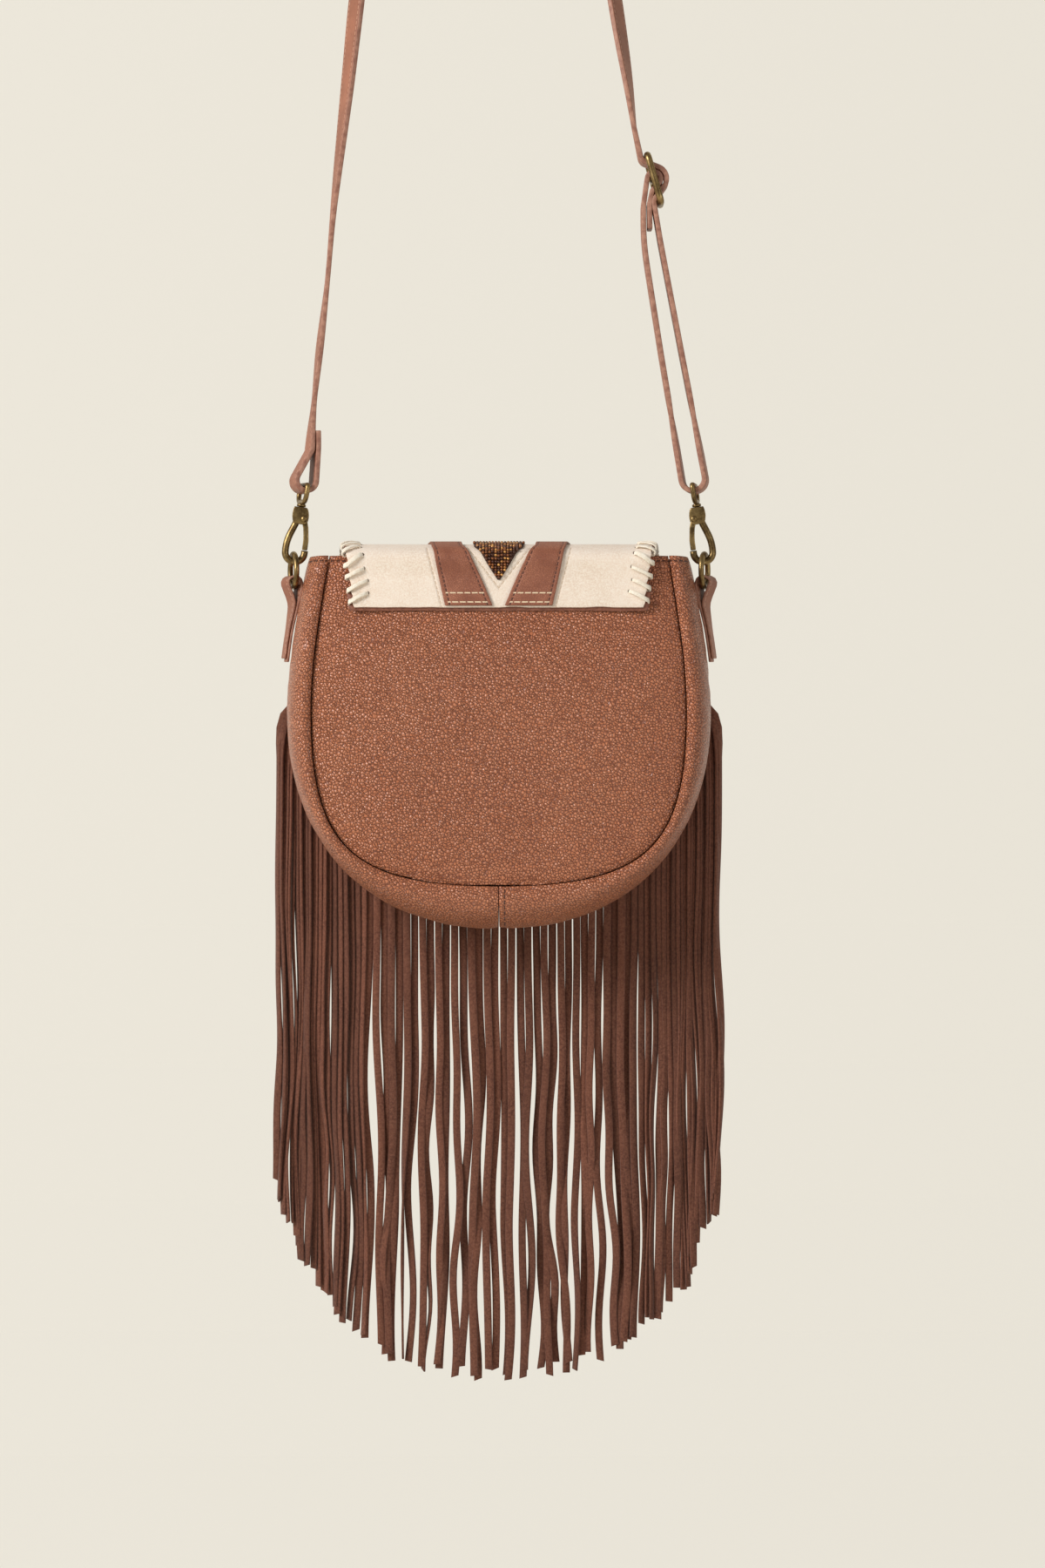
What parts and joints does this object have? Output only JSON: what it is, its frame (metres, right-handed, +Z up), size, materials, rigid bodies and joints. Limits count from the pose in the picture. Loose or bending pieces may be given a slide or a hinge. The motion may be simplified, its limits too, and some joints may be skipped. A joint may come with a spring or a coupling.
{
  "type": "fringe crossbody bag",
  "caption": "Saddle-shaped leather crossbody bag with a folded suede flap, long suede fringe, side rings, swivel snap hooks and a slide-adjusted strap.",
  "frame": {"origin": "underside of the strap's top bend, where a shoulder or a peg holds it", "axes": "+Z up, -Y the bag's back, +Y its flap front with the fringe, +X the side with the strap's slide"},
  "size_m": [0.2594, 0.0733, 1.0768],
  "materials": {
    "panel_leather": "brown pebbled leather with a soft sheen",
    "strap_leather": "smooth brown strap leather, cut edges",
    "band_leather": "smooth brown leather",
    "flap_suede": "cream suede, matt and slightly napped",
    "lace_leather": "pale flat leather lace",
    "fringe_suede": "dark brown suede, matt",
    "lining_cloth": "plain woven cloth",
    "beads": "small shiny bronze beads",
    "brass": "antique brass, darkened in the corners"
  },
  "bodies": {
    "strap": {"strap": "strap_leather", "slide_frame": "brass", "slide_bar": "brass", "eye_left": "brass", "eye_right": "brass"},
    "hook_left": {"hook_left": "brass", "gate_pin_left": "brass"},
    "hook_right": {"hook_right": "brass", "gate_pin_right": "brass"},
    "gate_left": {"gate_left": "brass"},
    "gate_right": {"gate_right": "brass"},
    "bag": {"back_panel": "panel_leather", "front_panel": "panel_leather", "gusset_left": "panel_leather", "gusset_right": "panel_leather", "lining": "lining_cloth", "flap_rear": "flap_suede", "band_rear_left": "band_leather", "band_rear_right": "band_leather", "beads_rear": "beads", "lace_rear_left": "lace_leather", "lace_rear_right": "lace_leather", "snap_socket": "brass", "tab_left": "strap_leather", "tab_right": "strap_leather"},
    "ring_left": {"ring_left": "brass"},
    "ring_right": {"ring_right": "brass"},
    "flap": {"flap_front": "flap_suede", "flap_lining": "lining_cloth", "band_front_left": "band_leather", "band_front_right": "band_leather", "beads_front": "beads", "lace_front_left": "lace_leather", "lace_front_right": "lace_leather", "snap_stud": "brass", "fringe_band": "fringe_suede"},
    "fringe_row_0": {"fringe_row_0": "fringe_suede"},
    "fringe_row_1": {"fringe_row_1_left": "fringe_suede", "fringe_row_1_right": "fringe_suede"},
    "fringe_row_2": {"fringe_row_2_left": "fringe_suede", "fringe_row_2_right": "fringe_suede"},
    "fringe_row_3": {"fringe_row_3_left": "fringe_suede", "fringe_row_3_right": "fringe_suede"},
    "fringe_row_4": {"fringe_row_4_left": "fringe_suede", "fringe_row_4_right": "fringe_suede"},
    "fringe_row_5": {"fringe_row_5_left": "fringe_suede", "fringe_row_5_right": "fringe_suede"},
    "fringe_row_6": {"fringe_row_6_left": "fringe_suede", "fringe_row_6_right": "fringe_suede"},
    "fringe_row_7": {"fringe_row_7_left": "fringe_suede", "fringe_row_7_right": "fringe_suede"}
  },
  "joints": [
    {"name": "bag_swing", "type": "hinge", "parent": "strap", "child": "bag", "pos_m": [0.0085, 0, -0.6025], "axis": [1, 0, 0], "range_deg": [-30, 20]},
    {"name": "hook_left_swivel", "type": "hinge", "parent": "strap", "child": "hook_left", "pos_m": [-0.1095, 0, -0.6025], "axis": [0.1392, 0, 0.9903], "range_deg": [-15, 15]},
    {"name": "hook_right_swivel", "type": "hinge", "parent": "strap", "child": "hook_right", "pos_m": [0.1265, 0, -0.6025], "axis": [-0.1392, 0, 0.9903], "range_deg": [-15, 15]},
    {"name": "gate_left_open", "type": "hinge", "parent": "hook_left", "child": "gate_left", "pos_m": [-0.10325, 0, -0.57813], "axis": [0, 1, 0], "range_deg": [0, 18], "stiffness_Nm_per_rad": 0.02, "springref_deg": -11.46},
    {"name": "gate_right_open", "type": "hinge", "parent": "hook_right", "child": "gate_right", "pos_m": [0.12025, 0, -0.57813], "axis": [0, -1, 0], "range_deg": [0, 18], "stiffness_Nm_per_rad": 0.02, "springref_deg": -11.46},
    {"name": "ring_left_tilt", "type": "hinge", "parent": "bag", "child": "ring_left", "pos_m": [-0.1095, 0, -0.6168], "axis": [-0.2419, 0.9703, 0], "range_deg": [-0.8, 2]},
    {"name": "ring_right_tilt", "type": "hinge", "parent": "bag", "child": "ring_right", "pos_m": [0.1265, 0, -0.6168], "axis": [0.2419, 0.9703, 0], "range_deg": [-2, 0.8]},
    {"name": "flap_open", "type": "hinge", "parent": "bag", "child": "flap", "pos_m": [0.0085, -0.01995, -0.59614], "axis": [1, 0, 0], "range_deg": [0, 75]},
    {"name": "fringe_row_0_hang", "type": "hinge", "parent": "flap", "child": "fringe_row_0", "pos_m": [0.0085, 0.0366, -0.7949], "axis": [1, 0, 0], "range_deg": [-75, 0]},
    {"name": "fringe_row_1_hang", "type": "hinge", "parent": "flap", "child": "fringe_row_1", "pos_m": [0.0085, 0.0371, -0.7789], "axis": [1, 0, 0], "range_deg": [-75, 0]},
    {"name": "fringe_row_2_hang", "type": "hinge", "parent": "flap", "child": "fringe_row_2", "pos_m": [0.0085, 0.0371, -0.7648], "axis": [1, 0, 0], "range_deg": [-75, 0]},
    {"name": "fringe_row_3_hang", "type": "hinge", "parent": "flap", "child": "fringe_row_3", "pos_m": [0.0085, 0.0371, -0.7505], "axis": [1, 0, 0], "range_deg": [-75, 0]},
    {"name": "fringe_row_4_hang", "type": "hinge", "parent": "flap", "child": "fringe_row_4", "pos_m": [0.0085, 0.0371, -0.7341], "axis": [1, 0, 0], "range_deg": [-75, 0]},
    {"name": "fringe_row_5_hang", "type": "hinge", "parent": "flap", "child": "fringe_row_5", "pos_m": [0.0085, 0.0371, -0.7208], "axis": [1, 0, 0], "range_deg": [-75, 0]},
    {"name": "fringe_row_6_hang", "type": "hinge", "parent": "flap", "child": "fringe_row_6", "pos_m": [0.0085, 0.0371, -0.707], "axis": [1, 0, 0], "range_deg": [-75, 0]},
    {"name": "fringe_row_7_hang", "type": "hinge", "parent": "flap", "child": "fringe_row_7", "pos_m": [0.0085, 0.0371, -0.693], "axis": [1, 0, 0], "range_deg": [-75, 0]}
  ],
  "couplings": [
    {"joint": "fringe_row_0_hang", "follows": "flap_open", "ratio": -1},
    {"joint": "fringe_row_1_hang", "follows": "flap_open", "ratio": -1},
    {"joint": "fringe_row_2_hang", "follows": "flap_open", "ratio": -1},
    {"joint": "fringe_row_3_hang", "follows": "flap_open", "ratio": -1},
    {"joint": "fringe_row_4_hang", "follows": "flap_open", "ratio": -1},
    {"joint": "fringe_row_5_hang", "follows": "flap_open", "ratio": -1},
    {"joint": "fringe_row_6_hang", "follows": "flap_open", "ratio": -1},
    {"joint": "fringe_row_7_hang", "follows": "flap_open", "ratio": -1}
  ]
}
